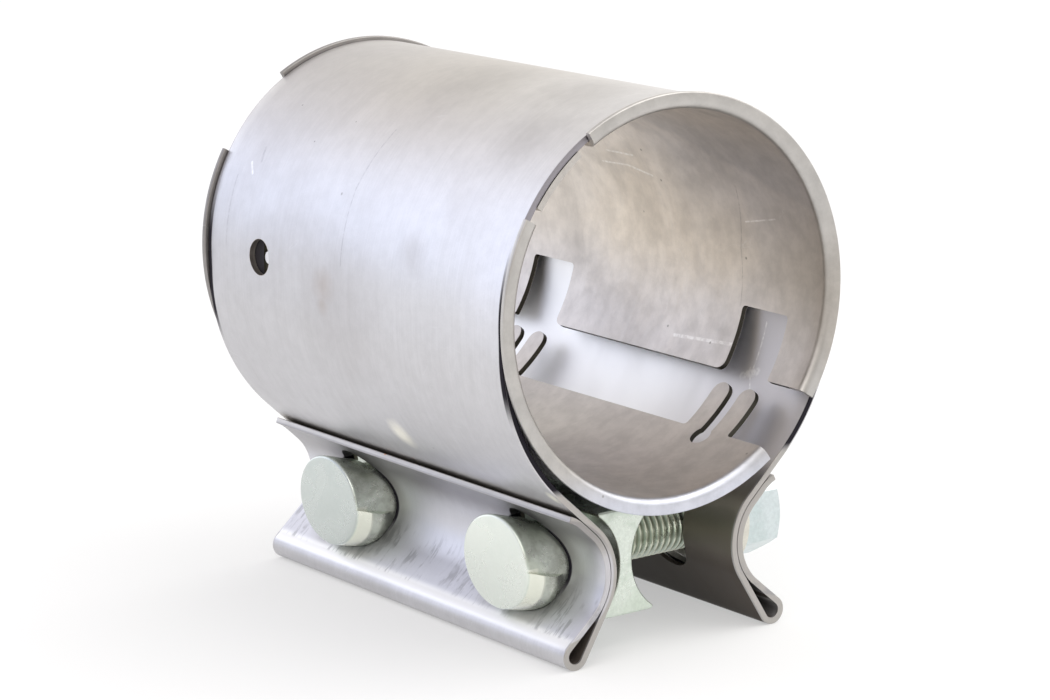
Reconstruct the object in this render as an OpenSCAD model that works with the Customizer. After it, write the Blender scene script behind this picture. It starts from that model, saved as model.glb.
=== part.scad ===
// Butt joint band clamp for exhaust tube.
// A split sleeve with rolled lips lies inside a wide band. The band's two ends are
// folded back on themselves into ears, and two bolts draw the ears together across
// a waisted reaction block. A saddle washer and a hex nut close each bolt.
// Frame: origin on the bore axis at mid length, Y along the bore with the front at -Y,
// bolts along X with their heads at -X, and Z up, so that the clamp stands on its ears.

/* [Bore and length] */
// Inside diameter of the sleeve, open as supplied
bore_d = 77; // [70:0.5:90]
// Overall length, over the two lips
clamp_len = 110; // [104:1:140]

/* [Sleeve] */
// Sheet thickness of the sleeve
sleeve_t = 1.2; // [0.8:0.1:1.6]
// Inside radius of the bend where a lip turns out
lip_bend_r = 0.5; // [0.3:0.1:1]
// How far a lip stands out past the band
lip_stand = 0.8; // [0.3:0.1:2]
// Play between a lip and the edge of the band
lip_gap = 0.3; // [0.2:0.1:1]
// Direction of the middle of the seam, seen from the front
seam_dir = -45.4; // [-55:0.1:-38]
// Width of the open seam, along the arc
seam_open = 14.4; // [8:0.2:18]
// Depth of the notches beside the tongue, along the arc
notch_depth = 14; // [8:0.5:18]
// Width of each notch, along the bore
notch_w = 14.6; // [13:0.1:16]
// Width left between each notch and the end of the sleeve
notch_land = 11.2; // [9:0.1:16]
// Corner radius of the tongue
tongue_r = 2; // [0.5:0.5:4]
// Width of one locking finger
finger_w = 5; // [4:0.1:5.2]
// Gap between the two fingers of a pair
finger_gap = 3.4; // [2.2:0.1:3.6]
// Length of a finger past the edge it stands on, along the arc
finger_len = 11.8; // [6:0.2:12]
// Diameter of the relief hole at the root of a finger pair
relief_d = 4.8; // [4:0.1:6]
// Half angle of the window where the lip is cut away, opposite the seam
window_half = 14.5; // [8:0.5:20]
// Angle of the small relief at each end of the window
window_relief = 4.5; // [2:0.5:6]
// How far the plain edge in the window lies behind the lip's back
window_back = 0.1; // [0:0.05:0.4]
// Extra depth of the reliefs behind the plain edge
relief_back = 2.4; // [1:0.1:4]

/* [Band] */
// Sheet thickness of the band
band_t = 1.3; // [0.8:0.1:1.8]
// Play between the sleeve and the band
band_fit = 0.1; // [0.05:0.01:0.15]
// Sag of the band's lower half below the sleeve
band_sag = 5; // [2:0.5:6]
// Diameter of the hole in the band's side
side_hole_d = 7.6; // [5:0.1:10]
// Direction of the side hole, seen from the front
side_hole_dir = 177.5; // [165:0.5:195]
// Distance of the side hole from the band's back edge
side_hole_inset = 20.3; // [16:0.1:34]

/* [Ears] */
// Distance between the two ears at their bulges
ear_gap = 29.1; // [27:0.1:34]
// Radius of the bulge on the side that meets the block
bulge_r = 13.3; // [12.5:0.1:14]
// Gap between the two plies of an ear
ply_gap = 0.15; // [0.1:0.01:0.3]
// Inside radius of the loop where the ear folds back
loop_ri = 1.6; // [1:0.1:2.2]
// How far the loop stands out from the bulge
loop_out = 10.35; // [9:0.1:11]
// How far the loop lies below the bolts
loop_down = 15.3; // [14.5:0.1:17]
// Straight part of the free edge above the bulge
edge_len = 3.6; // [2:0.1:4.5]
// Radius and angle by which the free edge flares out
flare_r = 10; // [6:0.5:20]
flare_angle = 20; // [5:1:25]

/* [Bolts] */
// Thread diameter
bolt_d = 12; // [10:0.5:12.5]
// Distance of each bolt from the band's edge
bolt_inset = 22.9; // [18:0.1:29]
// Width of the slots in the ears
slot_w = 13.6; // [13:0.1:15]
// Height of the slots in the ears
slot_h = 19; // [16:0.5:20]
// Height of the head above the bottom of its trough
head_h = 10.2; // [8.5:0.1:12]
// Radius of the flat face of the head
face_r = 9.4; // [8.5:0.1:9.8]
// Radius of the head at its base
base_r = 10.8; // [10:0.1:11]
// Height of the tapered part of the head
taper_h = 4; // [2:0.1:5]
// How far the lug stands out past the face
lug_out = 2.4; // [1.5:0.1:2.6]
// Height of the lug's sloping face
lug_slope = 2.4; // [1.5:0.1:3]
// Clearance of the heads to their troughs
head_seat = 0.1; // [0.05:0.01:0.2]
// How far the bolt stands out past the nut
bolt_stand = 1.5; // [0.5:0.1:6]

/* [Reaction block] */
// Height of the block
block_h = 23; // [22:0.2:24]
// Width of the block at its tips
block_w = 13.4; // [12:0.1:14]
// Width of the block at its waist
waist_w = 3.1; // [2.5:0.1:5]
// Radius of the block's hollow sides
hollow_r = 12.7; // [12:0.1:14]
// How far each end of the block lies inside the band's edge
block_inset = 5; // [1:0.5:8]
// Hollow of the block's top and bottom faces
block_arch = 0.5; // [0.2:0.1:0.8]
// Clearance of the block below the sleeve
block_clear = 0.5; // [0.4:0.1:1.5]
// Place of the block between the ears, from the middle
block_x = -8.5; // [-10:0.1:10]
// Radial clearance of the block on the bolts
block_play = 0.8; // [0.5:0.1:1]

/* [Saddle washers and nuts] */
// Outside radius of a saddle washer
washer_r = 11.5; // [10.5:0.1:11.6]
// Height of a saddle washer above the bottom of its trough
washer_h = 11.3; // [9:0.1:13]
// Radial clearance of a washer on its bolt
washer_play = 0.6; // [0.3:0.1:0.8]
// Clearance of a washer to its trough
washer_seat = 0.3; // [0.2:0.05:0.5]
// Size of the nut across its flats
nut_af = 18; // [17:0.5:21]
// Height of the nut
nut_h = 10; // [8:0.1:12]
// Radial running clearance of the nut on the bolt
nut_play = 0.05; // [0.02:0.01:0.1]
// Gap between the nut and its washer
nut_gap = 0.1; // [0.05:0.01:0.2]

/* [Hidden] */

$fn = 96;

sleeve_ri = bore_d / 2;
sleeve_ro = sleeve_ri + sleeve_t;
band_ri = sleeve_ro + band_fit;
band_rm = band_ri + band_t / 2;
band_ro = band_ri + band_t;
lip_r = band_ro + lip_stand;
band_len = clamp_len - 2 * (sleeve_t + lip_gap);
side_hole_y = band_len / 2 - side_hole_inset;
bolt_y = band_len / 2 - bolt_inset;

// Turns a length along the sleeve's arc into an angle
function arc_deg(len) = len / sleeve_ri * 180 / PI;
// Unit vector in direction a
function dir(a) = [cos(a), sin(a)];

// Seam: the tongue side ends at seam_hi, the finger side at seam_lo, and each notch with
// its pair of fingers lies between the tongue and the land at the sleeve's end
tongue_half = clamp_len / 2 - notch_land - notch_w;
seam_hi = seam_dir + arc_deg(seam_open) / 2;
seam_lo = seam_dir - arc_deg(seam_open) / 2;
notch_top = seam_hi + arc_deg(notch_depth);
pair_y = tongue_half + notch_w / 2;
finger_y = (finger_w + finger_gap) / 2;
finger_top = seam_lo + arc_deg(finger_len - finger_w / 2);
window_dir = seam_dir + 180;

// Ear: the bolt axis lies bolt_z up, the bulge's centre is bulge_c, the loop's is loop_c
bolt_z = -(sleeve_ro + block_clear + block_h / 2);
sag_c = [0, -band_sag];
bulge_c = [ear_gap / 2 + bulge_r, bolt_z];
loop_c = [ear_gap / 2 + loop_out, bolt_z - loop_down];
inner_r = bulge_r - band_t / 2;
outer_r = inner_r - band_t - ply_gap;
trough_r = outer_r - band_t / 2;
trough_x = bulge_c[0] - trough_r;
loop_rm = loop_ri + band_t / 2;

// Directions in which the straight plies leave the arcs that they join
to_bulge = bulge_c - sag_c;
to_loop = loop_c - bulge_c;
leave_a = atan2(to_bulge[1], to_bulge[0]) + acos((band_rm + inner_r) / norm(to_bulge));
loop_a = atan2(to_loop[1], to_loop[0]) + 360;
inner_a = loop_a - acos((inner_r - loop_rm) / norm(to_loop));
outer_a = loop_a - acos((outer_r + loop_rm) / norm(to_loop));
top_a = leave_a + 180;

// Bolt, washer and nut places along X
face_x = trough_x + head_h;
washer_x = trough_x + washer_h;
nut_x = washer_x + nut_gap;
bolt_end = nut_x + nut_h + bolt_stand;
lug_r = face_r + lug_out;

// Flat shapes, drawn in X and Z

// Points along an arc about c, in steps of about 5 degrees
function arc(c, r, a0, a1) =
    let (n = ceil(abs(a1 - a0) / 5))
    [for (i = [0:n]) c + r * dir(a0 + (a1 - a0) * i / n)];
function reversed(p) = [for (i = [len(p) - 1:-1:0]) p[i]];
function flipped_x(p) = [for (q = p) [-q[0], q[1]]];
function flipped_y(p) = [for (q = p) [q[0], -q[1]]];

// One face of the band's sheet, from the top of the clamp down the right side, round the
// bulge and the loop and back up to the flared free edge. h is half the sheet thickness,
// or minus that for the other face.
function sheet_face(h) =
    let (edge_p = bulge_c + outer_r * dir(top_a) + edge_len * dir(top_a - 90))
    let (flare_c = edge_p - flare_r * dir(top_a))
    concat(
        arc([0, 0], band_rm - h, 90, 0),
        arc(sag_c, band_rm - h, 0, leave_a),
        arc(bulge_c, inner_r + h, top_a, inner_a),
        arc(loop_c, loop_rm + h, inner_a, outer_a + 180),
        arc(bulge_c, outer_r - h, outer_a, top_a),
        arc(flare_c, flare_r - h, top_a, top_a - flare_angle));

module wedge(a0, a1, r) {
    steps = ceil((a1 - a0) / 45);
    reach = 2 * r;
    polygon(concat([[0, 0]], [for (i = [0:steps]) reach * dir(a0 + (a1 - a0) * i / steps)]));
}

// The band in one piece of sheet, from the left free edge over the top to the right one
module band_section() {
    near = sheet_face(band_t / 2);
    far = sheet_face(-band_t / 2);
    polygon(concat(reversed(far), flipped_x(far), reversed(flipped_x(near)), near));
}

// Fills the trough of the right ear from its surface outwards, less a gap
module trough_fill(gap) {
    reach = 2 * bulge_r;
    surface = arc(bulge_c, trough_r - gap, top_a, outer_a);
    last = len(surface) - 1;
    polygon(concat(
        surface,
        [surface[last] + reach * dir(outer_a + 90), surface[0] + reach * dir(top_a - 90)]));
}

// Waisted bar with hollow sides and slightly hollow top and bottom
module block_section() {
    arch_r = (pow(block_w / 2, 2) + pow(block_arch, 2)) / (2 * block_arch);
    difference() {
        square([block_w, block_h], center = true);
        for (s = [-1, 1]) {
            translate([s * (waist_w / 2 + hollow_r), 0])
                circle(hollow_r);
            translate([0, s * (block_h / 2 - block_arch + arch_r)])
                circle(arch_r);
        }
    }
}

// The sleeve's wall and both lips, as radius and place along the bore
module sleeve_section() {
    bend_z = clamp_len / 2 - sleeve_t - lip_bend_r;
    bend_c = [sleeve_ro + lip_bend_r, bend_z];
    half = concat(
        arc(bend_c, lip_bend_r + sleeve_t, 180, 90),
        [[lip_r, clamp_len / 2], [lip_r, clamp_len / 2 - sleeve_t]],
        arc(bend_c, lip_bend_r, 90, 180));
    polygon(concat(half, reversed(flipped_y(half))));
}

// Solids

// Extrudes a flat X and Z shape along the bore, about mid length
module along_bore(len) {
    rotate([90, 0, 0])
        linear_extrude(len, center = true)
            children();
}

// Round bar along X from x0 to x1
module x_bar(x0, x1, r0, r1) {
    translate([x0, 0, 0])
        rotate([0, 90, 0])
            cylinder(h = x1 - x0, r1 = r0, r2 = r1);
}

// Angular block between a0 and a1, from y0 to y1 along the bore
module sector(a0, a1, y0, y1) {
    translate([0, (y0 + y1) / 2, 0])
        along_bore(y1 - y0)
            wedge(a0, a1, lip_r);
}

// Stands a flat shape on the wall in direction a and pushes it through, with the shape's
// first axis along the bore and its second one along the arc
module through_wall(a, y) {
    rotate([0, -a, 0])
        translate([sleeve_ri / 2, y, 0])
            rotate([90, 0, 90])
                linear_extrude(sleeve_ri)
                    children();
}

module ear_slot() {
    straight = slot_h - slot_w;
    reach = trough_r;
    translate([ear_gap / 2 - band_t, 0, 0]) {
        translate([0, -slot_w / 2, -straight / 2])
            cube([reach, slot_w, straight]);
        for (s = [-1, 1])
            translate([0, 0, s * straight / 2])
                x_bar(0, reach, slot_w / 2, slot_w / 2);
    }
}

// The open seam, less the fingers that stand in it
module seam_cut() {
    tip_r = finger_w / 2;
    root = -finger_len;
    finger = concat([[-tip_r, root], [tip_r, root]], arc([0, 0], tip_r, 0, 180));
    difference() {
        union() {
            sector(seam_lo, seam_hi, -clamp_len, clamp_len);
            for (s = [-1, 1])
                translate([0, s * pair_y, 0])
                    sector(seam_lo, notch_top, -notch_w / 2, notch_w / 2);
        }
        for (s = [-1, 1], f = [-1, 1])
            through_wall(finger_top, s * pair_y + f * finger_y)
                polygon(finger);
    }
}

// Takes off one corner of the tongue, on the side s
module tongue_corner(s) {
    swing = asin(tongue_r / sleeve_ro);
    spare = 0.5;
    corner = concat([[tongue_r + spare, -tongue_r - spare], [tongue_r + spare, 0]],
                    arc([0, 0], tongue_r, 0, -90), [[0, -tongue_r - spare]]);
    through_wall(seam_hi + swing, s * (tongue_half - tongue_r))
        mirror([s < 0 ? 1 : 0, 0])
            polygon(corner);
}

// Window in both lips, opposite the seam
module window_cut() {
    plain_y = clamp_len / 2 - sleeve_t - window_back;
    for (s = [0, 1])
        mirror([0, s, 0]) {
            sector(window_dir - window_half, window_dir + window_half, plain_y, clamp_len);
            for (a = [-window_half, window_half - window_relief])
                sector(window_dir + a, window_dir + a + window_relief, plain_y - relief_back, clamp_len);
        }
}

module band() {
    color("gainsboro")
        difference() {
            along_bore(band_len)
                band_section();
            for (m = [0, 1], y = [-bolt_y, bolt_y])
                mirror([m, 0, 0])
                    translate([0, y, bolt_z])
                        ear_slot();
            through_wall(side_hole_dir, side_hole_y)
                circle(d = side_hole_d);
        }
}

module sleeve() {
    tab_r = side_hole_d / 4;
    color("silver")
        difference() {
            rotate([90, 0, 0])
                rotate_extrude($fn = 180)
                    sleeve_section();
            seam_cut();
            for (s = [-1, 1]) {
                tongue_corner(s);
                through_wall(seam_lo - arc_deg(relief_d / 3), s * pair_y)
                    circle(d = relief_d);
            }
            window_cut();
            through_wall(side_hole_dir, side_hole_y)
                difference() {
                    circle(d = side_hole_d);
                    translate([-side_hole_d / 2, 0])
                        circle(tab_r);
                }
        }
}

module reaction_block() {
    hole_r = bolt_d / 2 + block_play;
    color("palegreen")
        translate([block_x, 0, bolt_z])
            difference() {
                along_bore(band_len - 2 * block_inset)
                    block_section();
                for (y = [-bolt_y, bolt_y])
                    translate([0, y, 0])
                        x_bar(-block_w, block_w, hole_r, hole_r);
            }
}

// Tapered head with a lug between its front and its underside
module head() {
    shift = lug_r - face_r;
    x_bar(-face_x, -face_x + taper_h, face_r, base_r);
    x_bar(-face_x + taper_h, -trough_x + 1, base_r, base_r);
    intersection() {
        translate([0, -shift, 0]) {
            x_bar(-face_x, -face_x + lug_slope, face_r - shift, face_r);
            x_bar(-face_x + lug_slope, -trough_x + 1, face_r, face_r);
        }
        translate([-face_x - 1, -2 * lug_r, -2 * lug_r])
            cube([face_x, 2 * lug_r, 2 * lug_r]);
    }
}

module bolt(y) {
    end_bevel = bolt_d / 12;
    tip_r = bolt_d / 2 - end_bevel;
    color("darkseagreen") {
        intersection() {
            translate([0, y, bolt_z])
                head();
            mirror([1, 0, 0])
                translate([0, y, 0])
                    along_bore(4 * lug_r)
                        trough_fill(head_seat);
        }
        translate([0, y, bolt_z]) {
            x_bar(-trough_x - 1, bolt_end - end_bevel, bolt_d / 2, bolt_d / 2);
            x_bar(bolt_end - end_bevel, bolt_end, bolt_d / 2, tip_r);
        }
    }
}

module saddle_washer(y) {
    hole_r = bolt_d / 2 + washer_play;
    color("wheat")
        difference() {
            intersection() {
                translate([0, y, bolt_z])
                    x_bar(trough_x, washer_x, washer_r, washer_r);
                translate([0, y, 0])
                    along_bore(4 * washer_r)
                        trough_fill(washer_seat);
            }
            translate([0, y, bolt_z])
                x_bar(trough_x - 1, washer_x + 1, hole_r, hole_r);
        }
}

module nut(y) {
    corner_r = nut_af / 2 / cos(30);
    bevel = corner_r - nut_af / 2;
    hole_r = bolt_d / 2 + nut_play;
    color("powderblue")
        translate([nut_x, y, bolt_z])
            difference() {
                intersection() {
                    rotate([0, 90, 0])
                        cylinder(h = nut_h, r = corner_r, $fn = 6);
                    union() {
                        x_bar(0, bevel / 2, corner_r - bevel, corner_r);
                        x_bar(bevel / 2, nut_h - bevel / 2, corner_r, corner_r);
                        x_bar(nut_h - bevel / 2, nut_h, corner_r, corner_r - bevel);
                    }
                }
                x_bar(-1, nut_h + 1, hole_r, hole_r);
            }
}

module front_bolt() { bolt(-bolt_y); }
module back_bolt() { bolt(bolt_y); }
module front_saddle_washer() { saddle_washer(-bolt_y); }
module back_saddle_washer() { saddle_washer(bolt_y); }
module front_nut() { nut(-bolt_y); }
module back_nut() { nut(bolt_y); }

band();
sleeve();
reaction_block();
front_bolt();
back_bolt();
front_saddle_washer();
back_saddle_washer();
front_nut();
back_nut();
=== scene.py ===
"""Butt joint band clamp on a pale studio floor.

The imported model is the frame. Every piece below is a finer copy of one of its nodes, worked
out from the same sizes, in metres, in the same place: the bore's axis is Y with the front
end at -Y, the bolts lie along X with their heads at -X, and Z is up.
"""
import math
from types import SimpleNamespace

import bmesh
import bpy
import numpy as np
from mathutils import Matrix, Vector


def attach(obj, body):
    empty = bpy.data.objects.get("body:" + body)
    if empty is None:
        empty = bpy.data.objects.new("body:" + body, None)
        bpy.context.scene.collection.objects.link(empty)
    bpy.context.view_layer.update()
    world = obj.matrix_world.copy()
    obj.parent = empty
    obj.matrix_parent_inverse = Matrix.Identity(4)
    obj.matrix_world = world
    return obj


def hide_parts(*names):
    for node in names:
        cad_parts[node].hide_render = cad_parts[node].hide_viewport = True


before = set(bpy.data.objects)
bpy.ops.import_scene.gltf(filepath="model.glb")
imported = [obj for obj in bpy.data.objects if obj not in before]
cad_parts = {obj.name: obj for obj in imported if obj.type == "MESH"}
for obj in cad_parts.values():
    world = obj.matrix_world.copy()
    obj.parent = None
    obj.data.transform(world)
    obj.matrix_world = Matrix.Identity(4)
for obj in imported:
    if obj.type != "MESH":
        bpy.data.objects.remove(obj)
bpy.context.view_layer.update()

MM = 0.001

# Sheet and bore, in millimetres as on the drawing
BORE_R = 38.5
SLEEVE_T = 1.2
SLEEVE_RO = BORE_R + SLEEVE_T
LENGTH = 110.0
LIP_BEND = 0.5
BAND_T = 1.3
BAND_RM = SLEEVE_RO + 0.1 + BAND_T / 2
BAND_RO = BAND_RM + BAND_T / 2
LIP_R = BAND_RO + 0.8
BAND_HALF = LENGTH / 2 - SLEEVE_T - 0.3
SAG_C = np.array([0.0, -5.0])

# Reaction block
BLOCK_X = -8.5
BLOCK_HALF_H = 11.5
BLOCK_HALF_W = 6.7
BLOCK_HALF_LEN = BAND_HALF - 5.0
WAIST_HALF = 1.55
HOLLOW_R = 12.7

# Ears
EAR_GAP = 29.1
BULGE_R = 13.3
BOLT_Z = -(SLEEVE_RO + 0.5 + BLOCK_HALF_H)
BULGE_C = np.array([EAR_GAP / 2 + BULGE_R, BOLT_Z])
LOOP_C = np.array([EAR_GAP / 2 + 10.35, BOLT_Z - 15.3])
INNER_R = BULGE_R - BAND_T / 2
OUTER_R = INNER_R - BAND_T - 0.15
TROUGH_R = OUTER_R - BAND_T / 2
TROUGH_X = BULGE_C[0] - TROUGH_R
LOOP_RM = 1.6 + BAND_T / 2
EDGE_LEN = 3.6
FLARE_R = 10.0
FLARE_ANGLE = 20.0
SLOT_W = 13.6
SLOT_H = 19.0

# Seam
SEAM_DIR = -45.4
SEAM_OPEN = 14.4
NOTCH_DEPTH = 14.0
NOTCH_W = 14.6
TONGUE_HALF = 29.2
FINGER_W = 5.0
FINGER_STEP = 4.2
FINGER_LEN = 11.8
RELIEF_D = 4.8
WINDOW_DIR = SEAM_DIR + 180
SIDE_HOLE_D = 7.6
SIDE_HOLE_DIR = 177.5
SIDE_HOLE_Y = 33.2
TAB_HALF = 1.6
TAB_REACH = 3.7

# Bolts, washers and nuts
BOLT_R = 6.0
BOLT_Y = 30.6
PITCH = 1.5
THREAD_START = -11.5
SEAT_GAP = 0.1
HEAD_FACE = TROUGH_X + 10.2
LUG_OUT = 2.4
LUG_SLOPE = 2.4
WASHER_R = 11.5
WASHER_X = TROUGH_X + 11.3
NUT_X = WASHER_X + 0.1
NUT_AF = 18.0
NUT_H = 10.0
BOLT_END = NUT_X + NUT_H + 1.5


def heading(v):
    """Direction of a flat vector, in degrees."""
    return math.degrees(math.atan2(v[1], v[0]))


# Directions in which the plies leave the arcs that they join
to_bulge = BULGE_C - SAG_C
to_loop = LOOP_C - BULGE_C
LEAVE_A = heading(to_bulge) + math.degrees(math.acos((BAND_RM + INNER_R) / np.linalg.norm(to_bulge)))
LOOP_A = heading(to_loop) + 360
INNER_A = LOOP_A - math.degrees(math.acos((INNER_R - LOOP_RM) / np.linalg.norm(to_loop)))
OUTER_A = LOOP_A - math.degrees(math.acos((OUTER_R + LOOP_RM) / np.linalg.norm(to_loop)))
TOP_A = LEAVE_A + 180


# Mesh helpers

def direction(a):
    """Unit vectors in directions a, in degrees, one row for each."""
    a = np.radians(np.asarray(a, float))
    return np.stack([np.cos(a), np.sin(a)], -1)


def ring_faces(rows, cols, closed=False):
    """Quads of a grid of rows by cols points, numbered row by row. Each quad joins a point to
    the next one in its row and to the same pair in the next row. A row's last point joins its
    first, and the last row joins the first row where the grid is closed."""
    r, c = np.meshgrid(np.arange(rows if closed else rows - 1), np.arange(cols), indexing="ij")
    r2 = (r + 1) % rows
    c2 = (c + 1) % cols
    quads = np.stack([r * cols + c, r * cols + c2, r2 * cols + c2, r2 * cols + c], -1)
    return quads.reshape(-1, 4)


def make_piece(name, verts_mm, faces, smooth_angle=32.0):
    """A mesh object from points in millimetres and faces, with its normals turned outwards
    and its shading smooth up to an angle."""
    mesh = bpy.data.meshes.new(name)
    mesh.from_pydata((np.asarray(verts_mm, float) * MM).tolist(), [], faces)
    mesh.validate()
    obj = bpy.data.objects.new(name, mesh)
    bpy.context.scene.collection.objects.link(obj)
    turn_outwards(obj)
    shade(obj, smooth_angle)
    return obj


def turn_outwards(obj):
    """Merges doubled points and recalculates the normals of each closed shell."""
    bm = bmesh.new()
    bm.from_mesh(obj.data)
    bmesh.ops.remove_doubles(bm, verts=bm.verts, dist=1e-6)
    bmesh.ops.recalc_face_normals(bm, faces=bm.faces)
    bm.to_mesh(obj.data)
    bm.free()


def shade(obj, smooth_angle):
    """Shades smooth, apart from edges sharper than an angle."""
    obj.data.shade_smooth()
    obj.data.set_sharp_from_angle(angle=math.radians(smooth_angle))


def cut(obj, cutters, smooth_angle=32.0):
    """Takes the cutters out of a piece with exact booleans, and removes them."""
    for cutter in cutters:
        step = obj.modifiers.new("cut", "BOOLEAN")
        step.operation = "DIFFERENCE"
        step.solver = "EXACT"
        step.object = cutter
    graph = bpy.context.evaluated_depsgraph_get()
    result = bpy.data.meshes.new_from_object(obj.evaluated_get(graph))
    obj.modifiers.clear()
    old = obj.data
    obj.data = result
    bpy.data.meshes.remove(old)
    for cutter in cutters:
        bpy.data.objects.remove(cutter)
    shade(obj, smooth_angle)


def loft(name, rings, smooth_angle=32.0):
    """A closed solid through a stack of closed rings, rows by points by 3, with a flat face on
    the first ring and on the last."""
    rows, cols, _ = rings.shape
    faces = ring_faces(rows, cols).tolist()
    faces.append(list(range(cols))[::-1])
    faces.append([(rows - 1) * cols + i for i in range(cols)])
    return make_piece(name, rings.reshape(-1, 3), faces, smooth_angle)


def turned(name, rings, smooth_angle=32.0):
    """A solid like a tyre: closed along the rows and along the columns."""
    rows, cols, _ = rings.shape
    faces = ring_faces(rows, cols, closed=True).tolist()
    return make_piece(name, rings.reshape(-1, 3), faces, smooth_angle)


def about_x(x, r, a):
    """Points at a radius about the X axis, at places x along it and angles a in radians."""
    y = r * np.cos(a)
    return np.stack([np.broadcast_to(x, y.shape), y, r * np.sin(a)], -1)


def x_cylinder(name, y, z, r, x0, x1):
    """A round bar along X."""
    a = np.radians(np.linspace(0, 360, 96, endpoint=False))
    return loft(name, np.stack([about_x(x, r, a) for x in (x0, x1)]) + [0, y, z])


# Sheet pieces

def band_path():
    """The middle of the band's sheet on the right side as points and normals: a quarter circle
    about the bore, an arc about the sagging centre, a straight ply, the bulge, the loop and
    back up the bulge to the flared free edge. Each stretch is c + r * (cos a, sin a), and the
    normal points away from the bore on the body of the band."""
    edge_p = BULGE_C + OUTER_R * direction(TOP_A) + EDGE_LEN * direction(TOP_A - 90)
    flare_c = edge_p - FLARE_R * direction(TOP_A)
    stretches = [
        (np.zeros(2), BAND_RM, 90, 0, 1, 61),
        (SAG_C, BAND_RM, 0, LEAVE_A, 1, 31),
        (BULGE_C, INNER_R, TOP_A, INNER_A, -1, 30),
        (LOOP_C, LOOP_RM, INNER_A, OUTER_A + 180, -1, 26),
        (BULGE_C, OUTER_R, OUTER_A, TOP_A, 1, 34),
        (flare_c, FLARE_R, TOP_A, TOP_A - FLARE_ANGLE, 1, 8),
    ]
    points, normals = [], []
    for c, r, a0, a1, side, n in stretches:
        d = direction(np.linspace(a0, a1, n))
        points.append(c + r * d)
        normals.append(side * d)
    points = np.concatenate(points)
    normals = np.concatenate(normals)
    gap = np.linalg.norm(np.diff(points, axis=0), axis=1)
    keep = np.concatenate([[True], gap > 1e-4])
    return points[keep], normals[keep]


def densify(points, normals, step):
    """Adds points along stretches longer than step, with the normals blended between ends."""
    out_p, out_n = [points[:1]], [normals[:1]]
    for i in range(len(points) - 1):
        n = max(1, int(np.ceil(np.linalg.norm(points[i + 1] - points[i]) / step)))
        t = np.linspace(0, 1, n + 1)[1:, None]
        out_p.append(points[i] * (1 - t) + points[i + 1] * t)
        out_n.append(normals[i] * (1 - t) + normals[i + 1] * t)
    return np.concatenate(out_p), np.concatenate(out_n)


def sheet_ring(half_len, half_t, r, cols):
    """Outline of a cut through flat sheet, as place along the sheet's width and offset from its
    middle: a long rectangle with rounded corners of radius r."""
    corner = direction(np.linspace(0, 90, 4)) * r
    flat = np.linspace(-(half_len - r), half_len - r, cols)
    top = np.stack([flat, np.full(cols, half_t)], -1)
    right = corner[::-1] + [half_len - r, half_t - r]
    half = np.concatenate([top[:-1], right])
    return np.concatenate([half, -half])


def ring_at(p, n, ring):
    """The outline of the sheet's width at a path's point: the point plus its offset times the
    path's normal, at its own place along Y."""
    return np.stack([p[0] + n[0] * ring[:, 1], ring[:, 0], p[1] + n[1] * ring[:, 1]], -1)


def sweep_sheet(points, normals, half_len, half_t, r, cols):
    """Carries the outline of the sheet's width along a path in X and Z. The first and last
    rings are drawn in by r, so that the cut ends are rounded too."""
    ring = sheet_ring(half_len, half_t, r, cols)
    rings = [ring_at(p, n, ring) for p, n in zip(points[1:-1], normals[1:-1])]
    first = end_rings(points[0], normals[0], points[0] - points[1], half_len, half_t, r, cols)
    last = end_rings(points[-1], normals[-1], points[-1] - points[-2], half_len, half_t, r, cols)
    return np.stack(first[::-1] + rings + last)


def end_rings(p, n, ahead, half_len, half_t, r, cols):
    """Rings that round off a cut end, from just inside it to its face."""
    ahead = ahead / np.linalg.norm(ahead)
    rings = []
    for a in (0, 30, 60, 90):
        back = r * (1 - math.sin(math.radians(a)))
        inset = r * (1 - math.cos(math.radians(a)))
        ring = sheet_ring(half_len - inset, half_t - inset, max(r - inset, 0.02), cols)
        rings.append(ring_at(p - ahead * back, n, ring))
    return rings


def make_band():
    """The band as one swept sheet, less the slots for the bolts and the side hole."""
    path_step = 2.0
    edge_r = 0.22
    right_p, right_n = densify(*band_path(), path_step)
    left_p = right_p[::-1] * [-1, 1]
    left_n = right_n[::-1] * [-1, 1]
    points = np.concatenate([left_p[:-1], right_p])
    normals = np.concatenate([left_n[:-1], right_n])
    band = loft("Band", sweep_sheet(points, normals, BAND_HALF, BAND_T / 2, edge_r, 31))
    reach = EAR_GAP / 2 - BAND_T + TROUGH_R
    cutters = []
    for y in (-BOLT_Y, BOLT_Y):
        cutters.append(obround_x("slot_cutter", y, BOLT_Z, SLOT_W / 2, SLOT_H / 2, reach))
    cutters.append(side_drill("hole_cutter"))
    cut(band, cutters)
    return band


def obround_x(name, y, z, r, half_h, reach):
    """A bar along X whose section is a slot that stands up: two half circles of radius r, one
    above and one below."""
    top = direction(np.linspace(0, 180, 25)) * r + [0, half_h - r]
    outline = np.concatenate([top, -top])
    ring = np.stack([np.zeros(len(outline)), outline[:, 0] + y, outline[:, 1] + z], -1)
    return loft(name, np.stack([ring - [reach, 0, 0], ring + [reach, 0, 0]]))


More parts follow.
